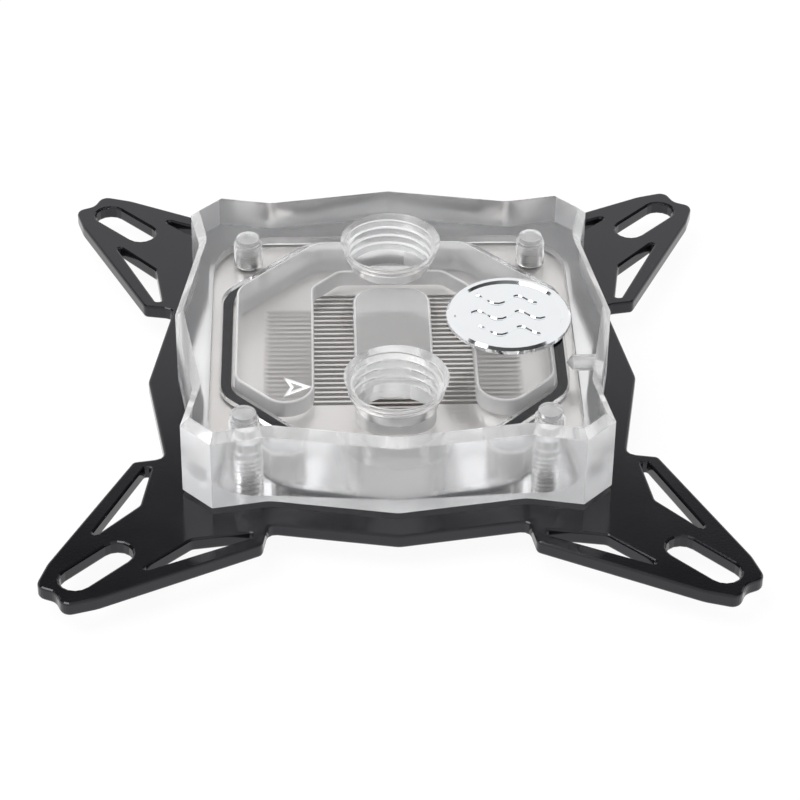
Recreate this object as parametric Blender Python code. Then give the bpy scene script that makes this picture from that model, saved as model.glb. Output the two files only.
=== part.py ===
"""CPU water block: a clear acrylic top over a finned cold plate, held by an X-shaped bracket.

Metres, +Z up. The origin is the middle of the cold plate's underside, which rests on z = 0.
+Y points to the outlet port, -Y to the inlet port, and +X to the side with the badge.
"""

import math

import bmesh
import bpy
from mathutils import Matrix, Vector

MM = 0.001

# Touching pieces keep this gap, because their meshes are faceted
SEAT_GAP = 0.3 * MM

# Cold plate: a square copper plate with its fins cut into the top face
PLATE_HALF = 25.7 * MM
PLATE_THICKNESS = 3.0 * MM
PLATE_CORNER_RADIUS = 1.5 * MM
PLATE_EDGE_BREAK = 0.25 * MM
FIN_GAPS = 25
FIN_PITCH = 1.025 * MM
FIN_GAP_WIDTH = 0.65 * MM
FIN_DEPTH = 2.0 * MM
FIN_HALF_LENGTH = 18.1 * MM
SAW_RADIUS = 12.0 * MM
SAW_STEPS = 5

# Mounting bracket: a flat 2 mm steel sheet. Half an arm is described, then mirrored and turned four times
BRACKET_BOTTOM = PLATE_THICKNESS + SEAT_GAP
BRACKET_THICKNESS = 2.0 * MM
BRACKET_TOP = BRACKET_BOTTOM + BRACKET_THICKNESS
BRACKET_EDGE = 0.3 * MM
BRACKET_EDGE_STEPS = 2
BRACKET_SIDE_PEAK = 34.3 * MM
ARM_INNER_CORNER = (31.35 * MM, 17.25 * MM)
ARM_SHOULDER = (35.6 * MM, 18.0 * MM)
ARM_KNEE = (45.8 * MM, 38.9 * MM)
ARM_TIP_HORN = (47.1 * MM, 43.25 * MM)
ARM_TIP_NOTCH = 44.4 * MM
SLOT_MIDDLE = 39.4 * MM
SLOT_HALF_TRAVEL = 2.45 * MM
SLOT_RADIUS = 2.2 * MM
SLOT_END_STEPS = 8
OPENING_SIDE_PEAK = 27.95 * MM
OPENING_CORNER_START = (26.0 * MM, 12.4 * MM)
OPENING_HALF = 26.0 * MM
OPENING_CORNER_RADIUS = 6.7 * MM

# Window in each side of an arm: two corners by the hub, the elbow, and the tip by the slot
WINDOW_HUB_INNER = (33.1 * MM, 19.3 * MM)
WINDOW_HUB_OUTER = (34.05 * MM, 19.2 * MM)
WINDOW_TIP = (41.1 * MM, 34.6 * MM)
WINDOW_ELBOW = (34.3 * MM, 27.2 * MM)

# Acrylic top: a star-shaped flange above the bracket, and a boss below that seals on the plate
TOP_BOTTOM = BRACKET_TOP + 0.5 * MM
TOP_FACE = 17.7 * MM
TOP_BEVEL = 1.15 * MM
STAR_SIDE_PEAK = 30.15 * MM
STAR_DIP = (27.25 * MM, 17.08 * MM)
STAR_CORNER = (28.68 * MM, 24.66 * MM)
BOSS_BOTTOM = PLATE_THICKNESS + SEAT_GAP
BOSS_HALF = 25.3 * MM
BOSS_CORNER_RADIUS = 8.0 * MM

# Coolant passages, milled into the boss from below. The cutter's corners round the rims of their ceilings
COLLECTOR_CEILING = 8.4 * MM
COLLECTOR_OUTER = 21.9 * MM
COLLECTOR_INNER = 11.0 * MM
COLLECTOR_FRONT = -15.5 * MM
COLLECTOR_FRONT_BEVEL = (16.35 * MM, -10.0 * MM)
ARCH_OUTER_START = 11.1 * MM
ARCH_OUTER_CORNER = (10.7 * MM, 22.3 * MM)
ARCH_INNER_START = 11.0 * MM
ARCH_INNER_CORNER = (7.3 * MM, 14.7 * MM)
JET_CEILING = 7.5 * MM
JET_HALF_WIDTH = 5.45 * MM
JET_REAR = 11.5 * MM
JET_FRONT = -19.5 * MM
JET_CORNER_RADIUS = 3.5 * MM
CEILING_RADIUS = 0.35 * MM
CEILING_STEPS = 2

# G1/4 ports, cut to the thread's minor diameter. The inlet opens into a pocket over the jet slot,
# and the outlet's floor has a narrower throat down to the arch
PORT_RADIUS = 5.75 * MM
PORT_RIM_RADIUS = 7.1 * MM
INLET_Y = -15.9 * MM
INLET_BOTTOM = 9.4 * MM
INLET_POCKET_CEILING = 9.8 * MM
INLET_POCKET_REAR = -6.8 * MM
OUTLET_Y = 16.2 * MM
OUTLET_BOTTOM = 9.8 * MM
THROAT_RADIUS = 4.2 * MM
THROAT_BOTTOM = COLLECTOR_CEILING - CEILING_RADIUS

# O-ring, stretched around a thin lip at the passages' outer wall, in a wider groove
RING_SIDE = 23.1 * MM
RING_REAR_BEVEL_START = 11.6 * MM
RING_REAR_CORNER = (11.2 * MM, 23.5 * MM)
RING_FRONT_BEVEL_START = -10.5 * MM
RING_FRONT_CORNER = (13.9 * MM, -19.7 * MM)
RING_FRONT = -23.1 * MM
RING_RADIUS = 0.7 * MM
RING_RESOLUTION = 4
GROOVE_INNER_SIDE = 0.85 * MM
GROOVE_OUTER_SIDE = 1.0 * MM
GROOVE_CEILING = BOSS_BOTTOM + 2 * RING_RADIUS + 0.25 * MM

# Cover screws: countersunk M4, from under the plate into blind holes in the acrylic
SCREW_OFFSET = 20.4 * MM
SCREW_RADIUS = 1.55 * MM
SCREW_HEAD_RADIUS = 3.75 * MM
SCREW_HEAD_BOTTOM = 0.15 * MM
SCREW_HEAD_HEIGHT = 2.05 * MM
SCREW_HEAD_RIM = 0.25 * MM
SCREW_TIP = 8.15 * MM
SCREW_POINT = 0.5 * MM
SOCKET_ACROSS_FLATS = 2.5 * MM
SOCKET_DEPTH = 1.5 * MM
SOCKET_POINT = 0.48 * MM
TAPPED_RADIUS = 1.85 * MM
TAPPED_TOP = 11.3 * MM
DRILL_RADIUS = 1.65 * MM
DRILL_TOP = 12.9 * MM
DRILL_POINT_HEIGHT = 0.9 * MM

# Blind side hole for a 3 mm light-emitting diode
LED_HOLE_RADIUS = 1.55 * MM
LED_HOLE_Y = -8.0 * MM
LED_HOLE_Z = 9.6 * MM
LED_HOLE_END = 24.4 * MM
LED_HOLE_TIP = 23.5 * MM

# Badge: a chromed disc that lies on the top face, with a plain wave design
BADGE_X = 15.7 * MM
BADGE_Y = -3.1 * MM
BADGE_RADIUS = 8.55 * MM
BADGE_THICKNESS = 0.9 * MM
BADGE_FIELD_DROP = 0.3 * MM
BADGE_RIM_WIDTH = 0.95 * MM
BADGE_EDGE = 0.35 * MM
WAVE_COUNT = 3
WAVE_SPACING = 3.6 * MM
WAVE_HEIGHT = 0.95 * MM
WAVE_LENGTH = 5.6 * MM
WAVE_HALF_WIDTH = 0.5 * MM
WAVE_END_SHARE = 0.55
WAVE_MARGIN = 2.28 * MM
WAVE_STEPS = 20
WAVE_TOP = 0.25 * MM
WAVE_SLOPE = 0.15 * MM

# Cutters reach this far past the faces that they cut
OVERSHOOT = 1.0 * MM

# Points closer than this are the same point
SAME_PLACE = 0.001 * MM

# Facets around small and large round forms
SMALL_SEGMENTS = 24
LARGE_SEGMENTS = 48


def clear_scene():
    for obj in list(bpy.data.objects):
        bpy.data.objects.remove(obj, do_unlink=True)


def material(name, colour, roughness, metallic, transmission=0.0):
    found = bpy.data.materials.new(name)
    found.use_nodes = True
    shader = found.node_tree.nodes["Principled BSDF"]
    shader.inputs["Base Color"].default_value = (*colour, 1.0)
    shader.inputs["Roughness"].default_value = roughness
    shader.inputs["Metallic"].default_value = metallic
    shader.inputs["Transmission Weight"].default_value = transmission
    return found


def rounded(corners):
    """Turns corners (x, y, radius, steps) into points, each corner replaced by an arc of that radius."""
    points = []
    count = len(corners)
    for index, (x, y, radius, steps) in enumerate(corners):
        here = Vector((x, y))
        if radius == 0:
            points.append((x, y))
            continue
        before = Vector(corners[index - 1][:2])
        after = Vector(corners[(index + 1) % count][:2])
        towards_before = (before - here).normalized()
        towards_after = (after - here).normalized()
        half_angle = towards_before.angle(towards_after) / 2
        middle = (towards_before + towards_after).normalized()
        centre = here + middle * (radius / math.sin(half_angle))
        reach = radius / math.tan(half_angle)
        start = here + towards_before * reach - centre
        turn = start.angle_signed(here + towards_after * reach - centre)
        for step in range(steps + 1):
            # angle_signed is clockwise positive, so the arc is turned the other way
            arm = start.copy()
            arm.rotate(Matrix.Rotation(-turn * step / steps, 2))
            points.append(tuple(centre + arm))
    return points


def offset(points, distance):
    """Moves each side of a closed outline to its left by distance, and meets the sides again."""
    moved = []
    count = len(points)
    for index in range(count):
        before = Vector(points[index - 1])
        here = Vector(points[index])
        after = Vector(points[(index + 1) % count])
        along_in = (here - before).normalized()
        along_out = (after - here).normalized()
        left_in = Vector((-along_in.y, along_in.x))
        left_out = Vector((-along_out.y, along_out.x))
        mitre = (left_in + left_out).normalized()
        moved.append(tuple(here + mitre * (distance / mitre.dot(left_in))))
    return moved


def mirrored_x(half):
    """Closes a half outline, given from -Y to +Y on the +X side, with its mirror on the -X side."""
    return half + [(-x, *rest) for x, *rest in reversed(half) if abs(x) > SAME_PLACE]


def four_turns(quarter):
    """Repeats a quarter of an outline, given counter-clockwise from +X, around the Z axis."""
    points = []
    for turn in range(4):
        for x, y, *rest in quarter:
            for _ in range(turn):
                x, y = -y, x
            points.append((x, y, *rest))
    return points


def about_diagonal(half):
    """Completes a quarter, given from +X up to the x = y diagonal, with its mirror in that diagonal."""
    mirror = [(y, x, *rest) for x, y, *rest in reversed(half)]
    return half + [corner for corner in mirror
                   if abs(corner[0] - corner[1]) > SAME_PLACE and corner[0] > SAME_PLACE]


def mesh_object(name, mesh_builder, finish=None):
    mesh = bpy.data.meshes.new(name)
    bmesh.ops.recalc_face_normals(mesh_builder, faces=mesh_builder.faces)
    mesh_builder.to_mesh(mesh)
    mesh_builder.free()
    obj = bpy.data.objects.new(name, mesh)
    bpy.context.scene.collection.objects.link(obj)
    if finish:
        mesh.materials.append(finish)
    return obj


def prism(name, outline, bottom, top, finish=None, top_edge=0.0, bottom_edge=0.0, edge_steps=1):
    """An outline extruded upwards. Its rims can be bevelled, in steps that round them."""
    mesh_builder = bmesh.new()
    face = mesh_builder.faces.new([mesh_builder.verts.new((x, y, bottom)) for x, y in outline])
    extruded = bmesh.ops.extrude_face_region(mesh_builder, geom=[face])["geom"]
    raised = [item for item in extruded if isinstance(item, bmesh.types.BMVert)]
    bmesh.ops.translate(mesh_builder, verts=raised, vec=(0, 0, top - bottom))
    for height, width in ((bottom, bottom_edge), (top, top_edge)):
        if width > 0:
            rim = [edge for edge in mesh_builder.edges
                   if all(abs(vertex.co.z - height) < SAME_PLACE for vertex in edge.verts)]
            bmesh.ops.bevel(mesh_builder, geom=rim, offset=width, segments=edge_steps, profile=0.5,
                            affect="EDGES", clamp_overlap=False)
    return mesh_object(name, mesh_builder, finish)


def turned(name, profile, segments, finish=None):
    """A solid of revolution about Z. The profile is (radius, z) and starts and ends on the axis."""
    mesh_builder = bmesh.new()
    points = [mesh_builder.verts.new((radius, 0, z)) for radius, z in profile]
    lines = [mesh_builder.edges.new(pair) for pair in zip(points, points[1:])]
    bmesh.ops.spin(mesh_builder, geom=points + lines, cent=(0, 0, 0), axis=(0, 0, 1),
                   angle=2 * math.pi, steps=segments, use_merge=True)
    bmesh.ops.remove_doubles(mesh_builder, verts=mesh_builder.verts, dist=SAME_PLACE)
    return mesh_object(name, mesh_builder, finish)


def boolean(target, tool, operation="DIFFERENCE"):
    tool.hide_render = True
    tool.display_type = "WIRE"
    modifier = target.modifiers.new(tool.name, "BOOLEAN")
    modifier.operation = operation
    modifier.solver = "EXACT"
    modifier.object = tool


def round_edges(obj, width, steps):
    """Rounds every edge sharper than the facets of an arc."""
    modifier = obj.modifiers.new("round_edges", "BEVEL")
    modifier.width = width
    modifier.segments = steps
    modifier.limit_method = "ANGLE"
    modifier.angle_limit = math.radians(60)
    modifier.use_clamp_overlap = False


def smooth(obj, angle=35):
    obj.data.shade_smooth()
    obj.data.set_sharp_from_angle(angle=math.radians(angle))


def rounded_square(half, radius, steps):
    return rounded([(half, -half, radius, steps), (half, half, radius, steps),
                    (-half, half, radius, steps), (-half, -half, radius, steps)])


def screw_places():
    return [(x * SCREW_OFFSET, y * SCREW_OFFSET) for x, y in ((1, 1), (-1, 1), (-1, -1), (1, -1))]


def bracket_outline():
    half_arm = [
        (BRACKET_SIDE_PEAK, 0.0, 3.0 * MM, 3),
        (*ARM_INNER_CORNER, 1.2 * MM, 3),
        (*ARM_SHOULDER, 0.9 * MM, 3),
        (*ARM_KNEE, 7.0 * MM, 4),
        (*ARM_TIP_HORN, 1.4 * MM, 5),
        (ARM_TIP_NOTCH, ARM_TIP_NOTCH, 2.0 * MM, 4),
    ]
    return rounded(four_turns(about_diagonal(half_arm)))


def bracket_opening():
    half_quarter = [
        (OPENING_SIDE_PEAK, 0.0, 4.0 * MM, 2),
        (*OPENING_CORNER_START, 6.0 * MM, 2),
        (OPENING_HALF, OPENING_HALF, OPENING_CORNER_RADIUS, 8),
    ]
    return rounded(four_turns(about_diagonal(half_quarter)))


def turn_outline(outline, turns):
    for _ in range(turns):
        outline = [(-y, x) for x, y in outline]
    return outline


def bracket_slots():
    near = SLOT_MIDDLE - SLOT_HALF_TRAVEL
    far = SLOT_MIDDLE + SLOT_HALF_TRAVEL
    slot = []
    for centre, start in ((far, -45), (near, 135)):
        for step in range(SLOT_END_STEPS + 1):
            angle = math.radians(start + 180 * step / SLOT_END_STEPS)
            slot.append((centre + SLOT_RADIUS * math.cos(angle), centre + SLOT_RADIUS * math.sin(angle)))
    return [turn_outline(slot, turns) for turns in range(4)]


def bracket_windows():
    window = rounded([
        (*WINDOW_HUB_INNER, 0.35 * MM, 2),
        (*WINDOW_HUB_OUTER, 0.4 * MM, 2),
        (*WINDOW_TIP, 0.35 * MM, 3),
        (*WINDOW_ELBOW, 1.2 * MM, 3),
    ])
    mirror = [(y, x) for x, y in reversed(window)]
    return [turn_outline(side, turns) for turns in range(4) for side in (window, mirror)]


def make_bracket(finish):
    bracket = prism("mounting_bracket", bracket_outline(), BRACKET_BOTTOM, BRACKET_TOP, finish)
    below = BRACKET_BOTTOM - OVERSHOOT
    above = BRACKET_TOP + OVERSHOOT
    holes = [bracket_opening()] + bracket_slots() + bracket_windows()
    for number, hole in enumerate(holes, 1):
        boolean(bracket, prism(f"bracket_hole_cutter_{number}", hole, below, above))
    round_edges(bracket, BRACKET_EDGE, BRACKET_EDGE_STEPS)
    smooth(bracket)


def fin_gap_cutter():
    """All gaps between the fins. Each one ends in the arc that a slitting saw leaves."""
    floor = PLATE_THICKNESS - FIN_DEPTH
    run_out = math.sqrt(SAW_RADIUS**2 - (SAW_RADIUS - FIN_DEPTH) ** 2)
    arc = []
    for step in range(SAW_STEPS + 1):
        along = run_out * step / SAW_STEPS
        rise = SAW_RADIUS - math.sqrt(SAW_RADIUS**2 - along**2)
        arc.append((FIN_HALF_LENGTH - run_out + along, floor + rise))
    side = arc + [(FIN_HALF_LENGTH, PLATE_THICKNESS + OVERSHOOT)]
    profile = side + [(-x, z) for x, z in reversed(side)]
    cutter = prism("fin_gap_cutter", profile, -FIN_GAP_WIDTH / 2, FIN_GAP_WIDTH / 2)
    cutter.rotation_euler = (math.radians(90), 0, 0)
    cutter.location = (0, -(FIN_GAPS - 1) / 2 * FIN_PITCH, 0)
    row = cutter.modifiers.new("row_of_gaps", "ARRAY")
    row.count = FIN_GAPS
    row.use_relative_offset = False
    row.use_constant_offset = True
    # The cutter lies on its side, so its own -Z is the plate's +Y
    row.constant_offset_displace = (0, 0, -FIN_PITCH)
    return cutter


def make_cold_plate(finish):
    outline = rounded_square(PLATE_HALF, PLATE_CORNER_RADIUS, 4)
    plate = prism("cold_plate", outline, 0.0, PLATE_THICKNESS, finish,
                  top_edge=PLATE_EDGE_BREAK, bottom_edge=PLATE_EDGE_BREAK)
    boolean(plate, fin_gap_cutter())
    clearance = SCREW_RADIUS + SEAT_GAP
    head_clearance = SCREW_HEAD_RADIUS + SEAT_GAP
    head_top = SCREW_HEAD_BOTTOM + SCREW_HEAD_HEIGHT
    profile = [
        (0, -OVERSHOOT),
        (head_clearance, -OVERSHOOT),
        (head_clearance, SCREW_HEAD_BOTTOM),
        (clearance, head_top),
        (clearance, PLATE_THICKNESS + OVERSHOOT),
        (0, PLATE_THICKNESS + OVERSHOOT),
    ]
    for number, (x, y) in enumerate(screw_places(), 1):
        hole = turned(f"plate_hole_cutter_{number}", profile, SMALL_SEGMENTS)
        hole.location = (x, y, 0)
        boolean(plate, hole)
    smooth(plate)


def star_outline():
    half_quarter = [
        (STAR_SIDE_PEAK, 0.0, 2.0 * MM, 2),
        (*STAR_DIP, 5.0 * MM, 4),
        (*STAR_CORNER, 0, 0),
    ]
    return rounded(four_turns(about_diagonal(half_quarter)))


def passage_outline():
    """The two collectors and the arch that joins them behind the jet: one outline, open to the front."""
    half = [
        (COLLECTOR_INNER, ARCH_INNER_START, 2.0 * MM, 3),
        (COLLECTOR_INNER, COLLECTOR_FRONT, 3.9 * MM, 7),
        (COLLECTOR_FRONT_BEVEL[0], COLLECTOR_FRONT, 3.0 * MM, 4),
        (COLLECTOR_OUTER, COLLECTOR_FRONT_BEVEL[1], 3.0 * MM, 4),
        (COLLECTOR_OUTER, ARCH_OUTER_START, 4.0 * MM, 4),
        (*ARCH_OUTER_CORNER, 4.0 * MM, 4),
    ]
    inner_corner = [(*ARCH_INNER_CORNER, 1.5 * MM, 2)]
    return rounded(mirrored_x(inner_corner + half))


def jet_outline(rear):
    """The jet slot, or the inlet's pocket over its front end, which has the same width."""
    return rounded([
        (JET_HALF_WIDTH, JET_FRONT, JET_CORNER_RADIUS, 7),
        (JET_HALF_WIDTH, rear, JET_CORNER_RADIUS, 7),
        (-JET_HALF_WIDTH, rear, JET_CORNER_RADIUS, 7),
        (-JET_HALF_WIDTH, JET_FRONT, JET_CORNER_RADIUS, 7),
    ])


def ring_path():
    half = [
        (0.0, RING_FRONT, 9.0 * MM, 6),
        (*RING_FRONT_CORNER, 6.0 * MM, 5),
        (RING_SIDE, RING_FRONT_BEVEL_START, 5.0 * MM, 5),
        (RING_SIDE, RING_REAR_BEVEL_START, 4.0 * MM, 5),
        (*RING_REAR_CORNER, 4.0 * MM, 5),
    ]
    return rounded(mirrored_x(half))


def groove_cutter():
    """The groove's outer outline, extruded, less its inner outline."""
    path = ring_path()
    below = BOSS_BOTTOM - OVERSHOOT
    above = GROOVE_CEILING + OVERSHOOT
    cutter = prism("groove_cutter", offset(path, -GROOVE_OUTER_SIDE), below, GROOVE_CEILING)
    boolean(cutter, prism("groove_island", offset(path, GROOVE_INNER_SIDE), below - OVERSHOOT, above))
    return cutter


def port_cutter(name, y, floor):
    """A port's bore. Its floor is the profile below the threaded wall, from the axis outwards."""
    wall = [
        (PORT_RADIUS, TOP_FACE - (PORT_RIM_RADIUS - PORT_RADIUS)),
        (PORT_RIM_RADIUS + OVERSHOOT, TOP_FACE + OVERSHOOT),
        (0, TOP_FACE + OVERSHOOT),
    ]
    cutter = turned(name, floor + wall, LARGE_SEGMENTS)
    cutter.location = (0, y, 0)
    return cutter


def passage_cutter(name, outline, ceiling):
    return prism(name, outline, BOSS_BOTTOM - OVERSHOOT, ceiling,
                 top_edge=CEILING_RADIUS, edge_steps=CEILING_STEPS)


def screw_hole_cutter(number, x, y):
    profile = [
        (0, BOSS_BOTTOM - OVERSHOOT),
        (TAPPED_RADIUS, BOSS_BOTTOM - OVERSHOOT),
        (TAPPED_RADIUS, TAPPED_TOP),
        (DRILL_RADIUS, TAPPED_TOP + TAPPED_RADIUS - DRILL_RADIUS),
        (DRILL_RADIUS, DRILL_TOP),
        (0, DRILL_TOP + DRILL_POINT_HEIGHT),
    ]
    cutter = turned(f"screw_hole_cutter_{number}", profile, SMALL_SEGMENTS)
    cutter.location = (x, y, 0)
    return cutter


def led_hole_cutter():
    outside = STAR_SIDE_PEAK + OVERSHOOT
    profile = [(0, LED_HOLE_TIP), (LED_HOLE_RADIUS, LED_HOLE_END), (LED_HOLE_RADIUS, outside), (0, outside)]
    cutter = turned("led_hole_cutter", profile, SMALL_SEGMENTS)
    cutter.rotation_euler = (0, math.radians(90), 0)
    cutter.location = (0, LED_HOLE_Y, LED_HOLE_Z)
    return cutter


def make_acrylic_top(finish):
    top = prism("acrylic_top", star_outline(), TOP_BOTTOM, TOP_FACE, finish, top_edge=TOP_BEVEL)
    boss_outline = rounded_square(BOSS_HALF, BOSS_CORNER_RADIUS, 8)
    boolean(top, prism("boss", boss_outline, BOSS_BOTTOM, TOP_BOTTOM + OVERSHOOT), "UNION")
    boolean(top, passage_cutter("collector_cutter", passage_outline(), COLLECTOR_CEILING))
    boolean(top, passage_cutter("jet_cutter", jet_outline(JET_REAR), JET_CEILING))
    boolean(top, passage_cutter("inlet_pocket_cutter", jet_outline(INLET_POCKET_REAR), INLET_POCKET_CEILING))
    boolean(top, groove_cutter())
    inlet_floor = [(0, INLET_BOTTOM), (PORT_RADIUS, INLET_BOTTOM)]
    boolean(top, port_cutter("inlet_port_cutter", INLET_Y, inlet_floor))
    outlet_floor = [(0, THROAT_BOTTOM), (THROAT_RADIUS, THROAT_BOTTOM),
                    (THROAT_RADIUS, OUTLET_BOTTOM), (PORT_RADIUS, OUTLET_BOTTOM)]
    boolean(top, port_cutter("outlet_port_cutter", OUTLET_Y, outlet_floor))
    for number, (x, y) in enumerate(screw_places(), 1):
        boolean(top, screw_hole_cutter(number, x, y))
    boolean(top, led_hole_cutter())
    smooth(top, 25)


def make_o_ring(finish):
    """A closed curve along the groove, bevelled to the ring's round section."""
    curve = bpy.data.curves.new("o_ring", "CURVE")
    curve.dimensions = "3D"
    curve.twist_mode = "Z_UP"
    curve.bevel_depth = RING_RADIUS
    curve.bevel_resolution = RING_RESOLUTION
    path = ring_path()
    spline = curve.splines.new("POLY")
    spline.points.add(len(path) - 1)
    for point, (x, y) in zip(spline.points, path):
        point.co = (x, y, BOSS_BOTTOM + RING_RADIUS, 1)
    spline.use_cyclic_u = True
    curve.materials.append(finish)
    ring = bpy.data.objects.new("o_ring", curve)
    bpy.context.scene.collection.objects.link(ring)


def make_cover_screws(finish):
    head_top = SCREW_HEAD_BOTTOM + SCREW_HEAD_HEIGHT
    profile = [
        (0, SCREW_HEAD_BOTTOM),
        (SCREW_HEAD_RADIUS - SCREW_HEAD_RIM, SCREW_HEAD_BOTTOM),
        (SCREW_HEAD_RADIUS - SCREW_HEAD_RIM, SCREW_HEAD_BOTTOM + SCREW_HEAD_RIM),
        (SCREW_RADIUS, head_top),
        (SCREW_RADIUS, SCREW_TIP - SCREW_POINT),
        (SCREW_RADIUS - SCREW_POINT, SCREW_TIP),
        (0, SCREW_TIP),
    ]
    socket_radius = SOCKET_ACROSS_FLATS / 2 / math.cos(math.radians(30))
    socket_top = SCREW_HEAD_BOTTOM + SOCKET_DEPTH
    socket = [(0, -OVERSHOOT), (socket_radius, -OVERSHOOT), (socket_radius, socket_top),
              (0, socket_top + SOCKET_POINT)]
    for number, (x, y) in enumerate(screw_places(), 1):
        screw = turned(f"cover_screw_{number}", profile, SMALL_SEGMENTS, finish)
        screw.location = (x, y, 0)
        cutter = turned(f"socket_cutter_{number}", socket, 6)
        cutter.location = (x, y, 0)
        boolean(screw, cutter)
        smooth(screw)


def wave_rib(number):
    """One raised wave across the badge's field, ending inside the rim."""
    row = (number - (WAVE_COUNT - 1) / 2) * WAVE_SPACING
    reach = math.sqrt((BADGE_RADIUS - WAVE_MARGIN) ** 2 - row**2) - WAVE_HEIGHT
    middle = []
    for step in range(WAVE_STEPS + 1):
        x = reach * (2 * step / WAVE_STEPS - 1)
        middle.append((x, row + WAVE_HEIGHT * math.sin(2 * math.pi * x / WAVE_LENGTH)))
    left = []
    right = []
    for index, (x, y) in enumerate(middle):
        before = Vector(middle[max(index - 1, 0)])
        after = Vector(middle[min(index + 1, WAVE_STEPS)])
        along = (after - before).normalized()
        # The rib narrows to blunt ends
        fullness = math.sqrt(max(0.0, 1 - (x / reach) ** 2))
        width = WAVE_HALF_WIDTH * (WAVE_END_SHARE + (1 - WAVE_END_SHARE) * fullness)
        left.append((x - along.y * width, y + along.x * width))
        right.append((x + along.y * width, y - along.x * width))
    field = TOP_FACE + SEAT_GAP + BADGE_THICKNESS - BADGE_FIELD_DROP
    outline = right + left[::-1]
    rib = prism(f"wave_rib_{number + 1}", outline, field - WAVE_TOP, field + WAVE_TOP, top_edge=WAVE_SLOPE)
    rib.location = (BADGE_X, BADGE_Y, 0)
    return rib


def make_badge(finish):
    seat = TOP_FACE + SEAT_GAP
    rim_top = seat + BADGE_THICKNESS
    field = rim_top - BADGE_FIELD_DROP
    profile = [
        (0, seat),
        (BADGE_RADIUS, seat),
        (BADGE_RADIUS, rim_top - BADGE_EDGE),
        (BADGE_RADIUS - BADGE_EDGE, rim_top),
        (BADGE_RADIUS - BADGE_RIM_WIDTH, rim_top),
        (BADGE_RADIUS - BADGE_RIM_WIDTH - BADGE_EDGE, field),
        (0, field),
    ]
    badge = turned("badge", profile, LARGE_SEGMENTS, finish)
    badge.location = (BADGE_X, BADGE_Y, 0)
    for number in range(WAVE_COUNT):
        boolean(badge, wave_rib(number), "UNION")
    smooth(badge)


def main():
    clear_scene()
    make_bracket(material("black_powder_coat", (0.02, 0.02, 0.023), 0.45, 0.0))
    make_cold_plate(material("nickel_plate", (0.72, 0.69, 0.66), 0.25, 1.0))
    make_acrylic_top(material("clear_acrylic", (0.97, 0.98, 1.0), 0.03, 0.0, 1.0))
    make_o_ring(material("black_rubber", (0.03, 0.03, 0.035), 0.6, 0.0))
    make_cover_screws(material("dark_steel", (0.35, 0.34, 0.33), 0.35, 1.0))
    make_badge(material("chrome", (0.86, 0.88, 0.92), 0.06, 1.0))


main()
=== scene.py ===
import math

import bmesh
import bpy
from mathutils import Euler, Matrix, Vector


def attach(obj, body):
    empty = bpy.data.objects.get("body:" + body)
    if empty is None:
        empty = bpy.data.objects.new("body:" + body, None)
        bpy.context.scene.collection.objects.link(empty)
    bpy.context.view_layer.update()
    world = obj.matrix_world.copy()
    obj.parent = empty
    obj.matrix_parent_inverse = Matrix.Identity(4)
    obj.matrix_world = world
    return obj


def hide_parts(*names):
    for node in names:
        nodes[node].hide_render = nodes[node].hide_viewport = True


MM = 0.001
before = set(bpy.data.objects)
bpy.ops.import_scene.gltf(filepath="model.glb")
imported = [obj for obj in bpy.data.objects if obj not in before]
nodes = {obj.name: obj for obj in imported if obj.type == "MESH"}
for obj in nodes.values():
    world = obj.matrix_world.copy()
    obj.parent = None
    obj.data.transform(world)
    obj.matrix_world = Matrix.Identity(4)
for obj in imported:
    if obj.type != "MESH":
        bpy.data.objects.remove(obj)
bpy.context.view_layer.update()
scene = bpy.context.scene

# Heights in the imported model, in metres above the cold plate's underside
BOSS_BOTTOM = 3.3 * MM
GROOVE_CEILING = 4.95 * MM
FLANGE_UNDERSIDE = 5.8 * MM
JET_CEILING = 7.5 * MM
POCKET_CEILING = 9.8 * MM
TOP_FACE = 17.7 * MM

BOSS_HALF = 25.3 * MM

# The ports, with the G1/4 thread's pitch and the height where the thread ends
PORTS = {"inlet": (0.0, -15.9 * MM), "outlet": (0.0, 16.2 * MM)}
PORT_FLOORS = {"inlet": 9.4 * MM, "outlet": 9.8 * MM}
PORT_RADIUS = 5.75 * MM
PORT_RIM = 7.1 * MM
PORT_PITCH = 1.337 * MM
PORT_THREAD_END = 12.0 * MM

# The cover screws and the holes that are tapped for them
SCREW_OFFSET = 20.4 * MM
SCREWS = [(sx * SCREW_OFFSET, sy * SCREW_OFFSET) for sx, sy in ((1, 1), (-1, 1), (-1, -1), (1, -1))]
SCREW_PITCH = 0.7 * MM
SCREW_RADIUS = 1.55 * MM
SCREW_TIP = 8.15 * MM
TAPPED_RADIUS = 1.85 * MM
TAPPED_TOP = 11.3 * MM
DRILL_POINT_TOP = 13.8 * MM

# The blind hole for a light, in the right side
LED_Y = -8.0 * MM
LED_Z = 9.6 * MM
LED_RADIUS = 1.55 * MM
LED_HOLE_TIP = 23.5 * MM

# The engraved arrowhead: its line of symmetry, the places of its corners along X, and its depth
ARROW_Y = -17.95 * MM
ARROW_TIP, ARROW_NOTCH, ARROW_TAIL = -11.4 * MM, -14.2 * MM, -15.1 * MM
ARROW_HALF = 2.15 * MM
ISLAND_TIP, ISLAND_NOTCH = -12.5 * MM, -13.7 * MM
ISLAND_HALF = 1.0 * MM
ARROW_DEPTH = 0.3 * MM
ARROW_MIDDLE = -13.3 * MM
ARROW_REACH = 2.4 * MM

# How the acrylic's faces are told apart. A face's height fits a surface that is this near.
NEAR = 0.03 * MM
# The least share of Z in the normal of a level face and of a slope, and of both X and Y in a corner facet's
LEVEL_NORMAL = 0.98
SLOPE_NORMAL = 0.05
CORNER_SLANT = 0.35

# The acrylic's colours: clear, and a painted bluish shade tint, standing in for the tent's bluish shade, on
# its thick outer walls and underside
CLEAR = (0.998, 0.998, 1.0)
BLUISH_SHADE_TINT = (0.98, 0.985, 1.0)
ACRYLIC_IOR = 1.49
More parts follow.
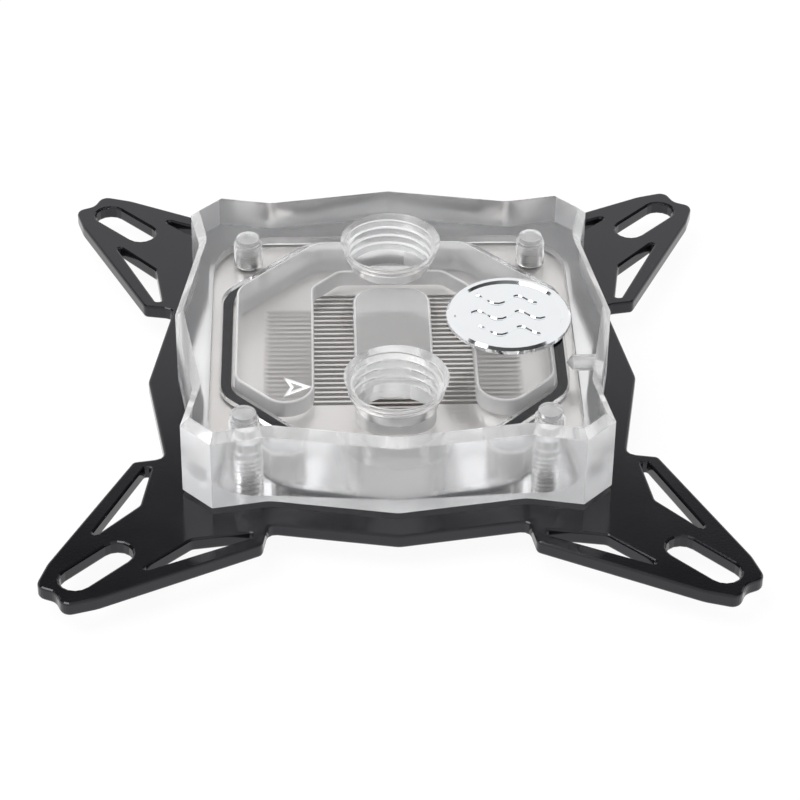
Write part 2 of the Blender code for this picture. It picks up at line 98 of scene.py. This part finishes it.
# The seal touches the groove's ceiling, so that hardly reflects or bends what shows through it
WETTED_IOR = 1.03

# The acrylic's finishes, in the order of its material slots
(POLISHED, OUTER, CORNER, BEVEL, UNDERSIDE, WETTED, CEILING, JET_ROOF, WALL, RIM,
 THREAD, SCREW_THREAD, BORE, ENGRAVED) = range(14)

# A Mix node's two colour inputs and its colour output
MIX_A, MIX_B, MIX_RESULT = 6, 7, 2

# The photo's viewpoint, as fitted to its outlines. The angles are in degrees.
CAMERA_PLACE = (-0.01069, -0.31743, 0.24611)
CAMERA_DIP = 37.169
CAMERA_TURN = -1.929
CAMERA_ROLL = 0.614
CAMERA_LENS = 127.46
CAMERA_SENSOR = 36
CAMERA_SHIFT = (0.00924, -0.02668)
CAMERA_CLIP = 0.01

# The tent's brightness in reflections, by degrees above the horizon
TENT_LEVELS = ((0, 0.9), (37.6, 0.9), (38.9, 0.18), (42, 0.04), (60, 0.1), (75, 0.4), (90, 0.7))
WHITE = (1, 1, 1, 1)

# The floor lies just below the cold plate. Its glow is its share of plain white where it is looked at.
FLOOR_HALF = 2.0
FLOOR_TOP = -0.05 * MM
FLOOR_BOTTOM = -2.0 * MM
FLOOR_GLOW = 0.93


# Materials

def start_material(name):
    material = bpy.data.materials.new(name)
    material.use_nodes = True
    tree = material.node_tree
    return material, tree, tree.nodes["Principled BSDF"]


def node(tree, kind, **settings):
    made = tree.nodes.new(kind)
    for key, value in settings.items():
        setattr(made, key, value)
    return made


def object_coordinates(tree, scale=(1, 1, 1)):
    coordinates = node(tree, "ShaderNodeTexCoord")
    mapping = node(tree, "ShaderNodeMapping")
    mapping.inputs["Scale"].default_value = scale
    tree.links.new(coordinates.outputs["Object"], mapping.inputs["Vector"])
    return mapping.outputs["Vector"]


def noise(tree, vector, scale, detail=3.0):
    made = node(tree, "ShaderNodeTexNoise")
    made.inputs["Scale"].default_value = scale
    made.inputs["Detail"].default_value = detail
    tree.links.new(vector, made.inputs["Vector"])
    return made.outputs["Fac"]


def ramp(tree, value, low, high, from_low=0.0, from_high=1.0):
    made = node(tree, "ShaderNodeMapRange")
    made.inputs["From Min"].default_value = from_low
    made.inputs["From Max"].default_value = from_high
    made.inputs["To Min"].default_value = low
    made.inputs["To Max"].default_value = high
    tree.links.new(value, made.inputs["Value"])
    return made.outputs["Result"]


def colour_ramp(tree, value, stops):
    made = node(tree, "ShaderNodeValToRGB")
    elements = made.color_ramp.elements
    while len(elements) > 1:
        elements.remove(elements[-1])
    elements[0].position = stops[0][0]
    elements[0].color = (*stops[0][1], 1)
    for position, colour in stops[1:]:
        elements.new(position).color = (*colour, 1)
    tree.links.new(value, made.inputs["Fac"])
    return made.outputs["Color"]


def patchy_colour(tree, patches, darker, lighter):
    """A colour that drifts between two others with a noise."""
    return colour_ramp(tree, patches, [(0.3, darker), (0.7, lighter)])


def combine(tree, operation, first, second):
    made = node(tree, "ShaderNodeMath", operation=operation)
    tree.links.new(first, made.inputs[0])
    tree.links.new(second, made.inputs[1])
    return made.outputs[0]


def bump(tree, height, strength, distance, shader):
    made = node(tree, "ShaderNodeBump")
    made.inputs["Strength"].default_value = strength
    made.inputs["Distance"].default_value = distance
    tree.links.new(height, made.inputs["Height"])
    tree.links.new(made.outputs["Normal"], shader.inputs["Normal"])


def powder_coat():
    """Satin black, with a fine grain and a few light specks of dust."""
    material, tree, shader = start_material("satin_black_coat")
    vector = object_coordinates(tree)
    patches = noise(tree, vector, scale=90)
    black = patchy_colour(tree, patches, (0.003, 0.003, 0.004), (0.006, 0.006, 0.007))
    specks = node(tree, "ShaderNodeTexVoronoi")
    specks.inputs["Scale"].default_value = 230
    tree.links.new(vector, specks.inputs["Vector"])
    dusty = ramp(tree, specks.outputs["Distance"], 1.0, 0.0, from_low=0.02, from_high=0.035)
    some = ramp(tree, noise(tree, vector, scale=160, detail=0.0), 0.0, 1.0, from_low=0.54, from_high=0.56)
    mix = node(tree, "ShaderNodeMix", data_type="RGBA")
    tree.links.new(combine(tree, "MULTIPLY", dusty, some), mix.inputs["Factor"])
    tree.links.new(black, mix.inputs[MIX_A])
    mix.inputs[MIX_B].default_value = (0.3, 0.3, 0.3, 1)
    tree.links.new(mix.outputs[MIX_RESULT], shader.inputs["Base Color"])
    tree.links.new(ramp(tree, patches, 0.1, 0.15), shader.inputs["Roughness"])
    shader.inputs["Specular Tint"].default_value = (0.95, 0.93, 1.0, 1)
    shader.inputs["Specular IOR Level"].default_value = 0.54
    bump(tree, noise(tree, vector, scale=2600, detail=2.0), 0.1, 0.03 * MM, shader)
    return material


def acrylic(name, smoothest, roughest, patch_scale, frost=0.0, grain=None, ior=ACRYLIC_IOR, colour=CLEAR):
    """Acrylic whose roughness varies in patches. Frost is the share of its surface that scatters like snow,
    and a grain is the (x, y, z) scale of its tool marks."""
    material, tree, shader = start_material(name)
    shader.inputs["Base Color"].default_value = (*colour, 1)
    shader.inputs["IOR"].default_value = ior
    shader.inputs["Transmission Weight"].default_value = 1.0 - frost
    patches = noise(tree, object_coordinates(tree), patch_scale, detail=0.0)
    roughness = ramp(tree, patches, smoothest, roughest, from_low=0.25, from_high=0.75)
    tree.links.new(roughness, shader.inputs["Roughness"])
    if grain:
        marks = noise(tree, object_coordinates(tree, grain), scale=1.0)
        bump(tree, marks, 1.0, 0.02 * MM, shader)
    return material


def nickel():
    material, tree, shader = start_material("nickel_plating")
    shader.inputs["Metallic"].default_value = 1.0
    lines = noise(tree, object_coordinates(tree, (1, 16, 16)), scale=90)
    patches = noise(tree, object_coordinates(tree), scale=60, detail=2.0)
    colour = patchy_colour(tree, patches, (0.74, 0.715, 0.695), (0.82, 0.8, 0.785))
    tree.links.new(colour, shader.inputs["Base Color"])
    tree.links.new(ramp(tree, lines, 0.29, 0.36), shader.inputs["Roughness"])
    bump(tree, lines, 0.03, 0.02 * MM, shader)
    return material


def rubber():
    material, tree, shader = start_material("black_rubber")
    vector = object_coordinates(tree)
    patches = noise(tree, vector, scale=300)
    colour = patchy_colour(tree, patches, (0.002, 0.0025, 0.006), (0.003, 0.004, 0.009))
    tree.links.new(colour, shader.inputs["Base Color"])
    shader.inputs["Roughness"].default_value = 0.6
    shader.inputs["Specular IOR Level"].default_value = 0.1
    bump(tree, noise(tree, vector, scale=3000, detail=2.0), 0.3, 0.03 * MM, shader)
    return material


def chrome():
    material, tree, shader = start_material("bright_chrome")
    shader.inputs["Metallic"].default_value = 1.0
    shader.inputs["Base Color"].default_value = (0.96, 0.98, 1.0, 1)
    smudges = noise(tree, object_coordinates(tree), scale=500, detail=2.0)
    tree.links.new(ramp(tree, smudges, 0.04, 0.1), shader.inputs["Roughness"])
    return material


def dark_steel():
    material, tree, shader = start_material("dark_steel")
    shader.inputs["Metallic"].default_value = 1.0
    patches = noise(tree, object_coordinates(tree), scale=700)
    colour = patchy_colour(tree, patches, (0.16, 0.15, 0.15), (0.26, 0.25, 0.24))
    tree.links.new(colour, shader.inputs["Base Color"])
    tree.links.new(ramp(tree, patches, 0.28, 0.42), shader.inputs["Roughness"])
    return material


# Mesh helpers

def mesh_object(name, vertices, faces):
    mesh = bpy.data.meshes.new(name)
    mesh.from_pydata(vertices, [], faces)
    builder = bmesh.new()
    builder.from_mesh(mesh)
    bmesh.ops.recalc_face_normals(builder, faces=builder.faces)
    builder.to_mesh(mesh)
    builder.free()
    obj = bpy.data.objects.new(name, mesh)
    scene.collection.objects.link(obj)
    return obj


def spiral(name, centre, bottom, top, section, pitch, steps):
    """A helical bar. Its section is a closed list of (radius, height) around the helix, and it has this many
    steps to a turn."""
    turns = (top - bottom) / pitch
    count = int(turns * steps)
    vertices = []
    for step in range(count + 1):
        angle = 2 * math.pi * step / steps
        lift = bottom + pitch * step / steps
        for radius, height in section:
            vertices.append((centre[0] + radius * math.cos(angle), centre[1] + radius * math.sin(angle),
                             lift + height))
    size = len(section)
    faces = [tuple(range(size)), tuple(range(count * size, (count + 1) * size))]
    for step in range(count):
        for corner in range(size):
            following = (corner + 1) % size
            start = step * size
            beyond = start + size
            faces.append((start + corner, start + following, beyond + following, beyond + corner))
    return mesh_object(name, vertices, faces)


def prism(name, outline, bottom, top):
    count = len(outline)
    vertices = [(x, y, bottom) for x, y in outline] + [(x, y, top) for x, y in outline]
    faces = [tuple(range(count)), tuple(range(count, 2 * count))]
    faces += [(i, (i + 1) % count, count + (i + 1) % count, count + i) for i in range(count)]
    return mesh_object(name, vertices, faces)


def clean_copy(name, source):
    """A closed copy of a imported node's mesh, with its split vertices joined and its flat faces whole."""
    mesh = source.data.copy()
    mesh.name = name
    obj = bpy.data.objects.new(name, mesh)
    scene.collection.objects.link(obj)
    builder = bmesh.new()
    builder.from_mesh(mesh)
    bmesh.ops.remove_doubles(builder, verts=builder.verts, dist=0.002 * MM)
    bmesh.ops.dissolve_limit(builder, angle_limit=math.radians(0.2), verts=builder.verts, edges=builder.edges)
    builder.to_mesh(mesh)
    builder.free()
    if mesh.attributes.get("custom_normal"):
        mesh.attributes.remove(mesh.attributes["custom_normal"])
    return obj


def carve(target, tools, operation="DIFFERENCE"):
    """Cut the tools out of the target, or join them to it, and remove them."""
    for tool in tools:
        modifier = target.modifiers.new(tool.name, "BOOLEAN")
        modifier.operation = operation
        modifier.solver = "EXACT"
        modifier.object = tool
    bpy.context.view_layer.update()
    evaluated = target.evaluated_get(bpy.context.evaluated_depsgraph_get())
    made = bpy.data.meshes.new_from_object(evaluated)
    target.modifiers.clear()
    target.data = made
    for tool in tools:
        bpy.data.objects.remove(tool, do_unlink=True)


def shade(obj, angle):
    """Smooth below this angle in degrees, with the normals led by the large flat faces."""
    obj.data.shade_smooth()
    obj.data.set_sharp_from_angle(angle=math.radians(angle))
    weights = obj.modifiers.new("flat_faces_lead", "WEIGHTED_NORMAL")
    weights.keep_sharp = True
    weights.mode = "FACE_AREA"
    weights.weight = 80


def dress(obj, materials):
    obj.data.materials.clear()
    for material in materials:
        obj.data.materials.append(material)


# The acrylic top, with its threads and its engraved arrow

def thread_section(wall, overlap, depth, foot_half, crest_half):
    """A thread's profile, from inside a wall's radius out to its crest. A crest half of 0 makes it sharp."""
    inside, peak = wall - overlap, wall + depth
    crest = [(peak, -crest_half), (peak, crest_half)] if crest_half else [(peak, 0.0)]
    return [(inside, -foot_half), (wall, -foot_half), *crest, (wall, foot_half), (inside, foot_half)]


def port_thread(name):
    section = thread_section(PORT_RADIUS, 0.3 * MM, 0.8 * MM, 0.56 * MM, 0.12 * MM)
    bottom, top = PORT_THREAD_END + 0.5 * MM, TOP_FACE + 0.4 * MM
    return spiral(f"{name}_thread", PORTS[name], bottom, top, section, PORT_PITCH, 64)


def tapped_thread(number, place):
    section = thread_section(TAPPED_RADIUS, 0.2 * MM, 0.22 * MM, 0.27 * MM, 0.05 * MM)
    bottom, top = 2.6 * MM, TAPPED_TOP - 0.6 * MM
    return spiral(f"tapped_thread_{number}", place, bottom, top, section, SCREW_PITCH, 32)


def screw_ridge(number, place):
    section = thread_section(SCREW_RADIUS, 0.2 * MM, 0.2 * MM, 0.28 * MM, 0.0)
    bottom, top = 3.6 * MM, SCREW_TIP - 0.8 * MM
    return spiral(f"screw_ridge_{number}", place, bottom, top, section, SCREW_PITCH, 32)


def arrowhead(tip, notch, tail, half):
    return [(tip, ARROW_Y), (tail, ARROW_Y + half), (notch, ARROW_Y), (tail, ARROW_Y - half)]


def arrow_cutter():
    """The stroke of a hollow arrowhead that points at the inlet port."""
    floor = TOP_FACE - ARROW_DEPTH
    outer = arrowhead(ARROW_TIP, ARROW_NOTCH, ARROW_TAIL, ARROW_HALF)
    inner = arrowhead(ISLAND_TIP, ISLAND_NOTCH, ARROW_NOTCH, ISLAND_HALF)
    stroke = prism("arrow_stroke", outer, floor, TOP_FACE + 1 * MM)
    island = prism("arrow_island", inner, floor - 0.5 * MM, TOP_FACE + 2 * MM)
    carve(stroke, [island])
    return stroke


def from_axis(place, axis):
    return math.hypot(place.x - axis[0], place.y - axis[1])


def hole_kind(place, level, highest):
    """The finish of a face in a tapped hole, the light's hole or a port, or None."""
    for axis in SCREWS:
        if from_axis(place, axis) < TAPPED_RADIUS + 0.3 * MM and highest < DRILL_POINT_TOP + NEAR:
            if highest < SCREW_TIP + NEAR:
                return SCREW_THREAD
            return THREAD if highest < TAPPED_TOP - NEAR else BORE
    if place.x > LED_HOLE_TIP and math.hypot(place.y - LED_Y, place.z - LED_Z) < LED_RADIUS + NEAR:
        return BORE
    for name, axis in PORTS.items():
        if from_axis(place, axis) < PORT_RIM and place.z > PORT_FLOORS[name] - NEAR:
            if level:
                return CEILING
            return THREAD if highest > PORT_THREAD_END + 0.2 * MM else BORE
    return None


def surface_kind(place, normal, lowest, highest):
    """Which finish a face of the acrylic has, from its middle, its normal and the heights that it spans."""
    level = abs(normal.z) > LEVEL_NORMAL
    if level and min(abs(place.z - TOP_FACE), abs(place.z - BOSS_BOTTOM)) < NEAR:
        return POLISHED
    if level and abs(place.z - FLANGE_UNDERSIDE) < NEAR:
        return UNDERSIDE
    in_hole = hole_kind(place, level, highest)
    if in_hole is not None:
        return in_hole
    beside_arrow = max(abs(place.x - ARROW_MIDDLE), abs(place.y - ARROW_Y))
    if beside_arrow < ARROW_REACH and lowest > TOP_FACE - ARROW_DEPTH - 0.05 * MM:
        return ENGRAVED
    if highest > TOP_FACE - NEAR:
        return BEVEL
    if highest > POCKET_CEILING + NEAR:
        return CORNER if min(abs(normal.x), abs(normal.y)) > CORNER_SLANT else OUTER
    if highest < GROOVE_CEILING + NEAR:
        return WETTED if level else POLISHED
    if highest < FLANGE_UNDERSIDE + NEAR:
        return WALL
    if max(abs(place.x), abs(place.y)) > BOSS_HALF:
        return POLISHED
    if level:
        return JET_ROOF if place.z < JET_CEILING + NEAR else CEILING
    return RIM if abs(normal.z) > SLOPE_NORMAL else WALL


def acrylic_finishes():
    """Name, smoothest and roughest, the patches' scale and the frost, for each material slot in turn."""
    return [
        acrylic("polished_acrylic", 0.0, 0.015, 60),
        # The satin sides, corners and underside carry the painted bluish shade tint in their base colour
        acrylic("satin_side", 0.19, 0.25, 150, 0.1, colour=BLUISH_SHADE_TINT),
        acrylic("satin_corner", 0.19, 0.25, 150, 0.5, colour=BLUISH_SHADE_TINT),
        acrylic("satin_bevel", 0.14, 0.2, 150, 0.24),
        acrylic("satin_underside", 0.3, 0.4, 150, 0.12, colour=BLUISH_SHADE_TINT),
        acrylic("wetted_groove", 0.0, 0.015, 150, ior=WETTED_IOR),
        acrylic("milled_ceiling", 0.09, 0.18, 160, 0.08),
        acrylic("milled_jet_roof", 0.18, 0.25, 160, 0.3),
        acrylic("milled_wall", 0.4, 0.55, 200, 0.4, grain=(1800, 1800, 300)),
        acrylic("milled_rim", 0.5, 0.65, 300, 0.7),
        acrylic("port_thread", 0.16, 0.25, 300, 0.2),
        acrylic("filled_thread", 0.04, 0.1, 300, 0.02),
        acrylic("drilled_bore", 0.3, 0.4, 300, 0.3, grain=(900, 900, 40)),
        acrylic("engraved_acrylic", 0.45, 0.6, 900, 0.8),
    ]


def make_top():
    top = clean_copy("clear_top", nodes["acrylic_top"])
    tools = [port_thread("inlet"), port_thread("outlet"), arrow_cutter()]
    tools += [tapped_thread(number, place) for number, place in enumerate(SCREWS, 1)]
    carve(top, tools)
    dress(top, acrylic_finishes())
    mesh = top.data
    for face in mesh.polygons:
        heights = [mesh.vertices[index].co.z for index in face.vertices]
        face.material_index = surface_kind(face.center, face.normal, min(heights), max(heights))
    shade(top, 28)
    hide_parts("acrylic_top")
    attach(top, "root")


# The other pieces

def make_screws():
    steel = dark_steel()
    for number, place in enumerate(SCREWS, 1):
        source = f"cover_screw_{number}"
        screw = clean_copy(f"threaded_screw_{number}", nodes[source])
        carve(screw, [screw_ridge(number, place)], "UNION")
        dress(screw, [steel])
        shade(screw, 30)
        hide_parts(source)
        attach(screw, "root")


def make_badge():
    badge = clean_copy("chromed_badge", nodes["badge"])
    dress(badge, [chrome()])
    shade(badge, 20)
    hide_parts("badge")
    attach(badge, "root")


def dress_nodes():
    for name, material in (
        ("mounting_bracket", powder_coat()),
        ("cold_plate", nickel()),
        ("o_ring", rubber()),
    ):
        dress(nodes[name], [material])


# Studio

def make_camera():
    camera = bpy.data.objects.new("camera", bpy.data.cameras.new("camera"))
    camera.data.lens = CAMERA_LENS
    camera.data.sensor_width = CAMERA_SENSOR
    camera.data.shift_x, camera.data.shift_y = CAMERA_SHIFT
    camera.data.clip_start = CAMERA_CLIP
    camera.location = CAMERA_PLACE
    turned = Euler((math.radians(90 - CAMERA_DIP), 0, math.radians(CAMERA_TURN))).to_matrix()
    roll = Matrix.Rotation(math.radians(CAMERA_ROLL), 3, "Z")
    camera.rotation_euler = (turned @ roll).to_euler()
    scene.collection.objects.link(camera)
    scene.camera = camera


def make_world():
    """A white tent. Reflections see it dark from about 38 degrees up and lighter again overhead, so edges
    and slopes stand out. A refracted ray also counts as glossy, so a second mix gives it plain white."""
    world = bpy.data.worlds.new("light_tent")
    world.use_nodes = True
    scene.world = world
    tree = world.node_tree
    coordinates = node(tree, "ShaderNodeTexCoord")
    split = node(tree, "ShaderNodeSeparateXYZ")
    tree.links.new(coordinates.outputs["Generated"], split.inputs["Vector"])
    tent = colour_ramp(tree, split.outputs["Z"], [
        (math.sin(math.radians(elevation)), (level, level, level)) for elevation, level in TENT_LEVELS
    ])
    path = node(tree, "ShaderNodeLightPath")
    reflected = node(tree, "ShaderNodeMix", data_type="RGBA")
    tree.links.new(path.outputs["Is Glossy Ray"], reflected.inputs["Factor"])
    reflected.inputs[MIX_A].default_value = WHITE
    tree.links.new(tent, reflected.inputs[MIX_B])
    through = node(tree, "ShaderNodeMix", data_type="RGBA")
    tree.links.new(path.outputs["Is Transmission Ray"], through.inputs["Factor"])
    tree.links.new(reflected.outputs[MIX_RESULT], through.inputs[MIX_A])
    through.inputs[MIX_B].default_value = WHITE
    tree.links.new(through.outputs[MIX_RESULT], tree.nodes["Background"].inputs["Color"])


def make_floor():
    """A pale floor that keeps the object's shadow, nearly white to the camera, to reflections and through
    the acrylic."""
    corners = [(sx * FLOOR_HALF, sy * FLOOR_HALF) for sx, sy in ((-1, -1), (1, -1), (1, 1), (-1, 1))]
    floor = prism("studio_floor", corners, FLOOR_BOTTOM, FLOOR_TOP)
    material, tree, shader = start_material("pale_floor")
    shader.inputs["Base Color"].default_value = (0.9, 0.9, 0.9, 1)
    shader.inputs["Roughness"].default_value = 0.9
    white = node(tree, "ShaderNodeEmission")
    path = node(tree, "ShaderNodeLightPath")
    seen = combine(tree, "MAXIMUM", path.outputs["Is Camera Ray"], path.outputs["Is Glossy Ray"])
    seen = combine(tree, "MAXIMUM", seen, path.outputs["Is Transmission Ray"])
    glow = node(tree, "ShaderNodeMixShader")
    tree.links.new(ramp(tree, seen, 0.0, FLOOR_GLOW), glow.inputs["Fac"])
    tree.links.new(shader.outputs["BSDF"], glow.inputs[1])
    tree.links.new(white.outputs["Emission"], glow.inputs[2])
    tree.links.new(glow.outputs["Shader"], tree.nodes["Material Output"].inputs["Surface"])
    dress(floor, [material])


def make_lamp(name, place, size, power):
    """A square area lamp that faces the origin."""
    lamp = bpy.data.objects.new(name, bpy.data.lights.new(name, "AREA"))
    lamp.data.shape = "SQUARE"
    lamp.data.size = size
    lamp.data.energy = power
    lamp.location = place
    lamp.rotation_euler = (-Vector(place)).to_track_quat("-Z", "Y").to_euler()
    scene.collection.objects.link(lamp)


def set_light_paths():
    """Light bounces many times inside the acrylic before it leaves."""
    scene.cycles.max_bounces = 32
    scene.cycles.diffuse_bounces = 12
    scene.cycles.glossy_bounces = 20
    scene.cycles.transmission_bounces = 28


def main():
    scene.view_settings.view_transform = "Standard"
    set_light_paths()
    make_camera()
    make_world()
    make_floor()
    make_lamp("key_softbox", place=(-0.35, -0.1, 0.7), size=0.5, power=4.0)
    make_top()
    make_screws()
    make_badge()
    dress_nodes()


main()
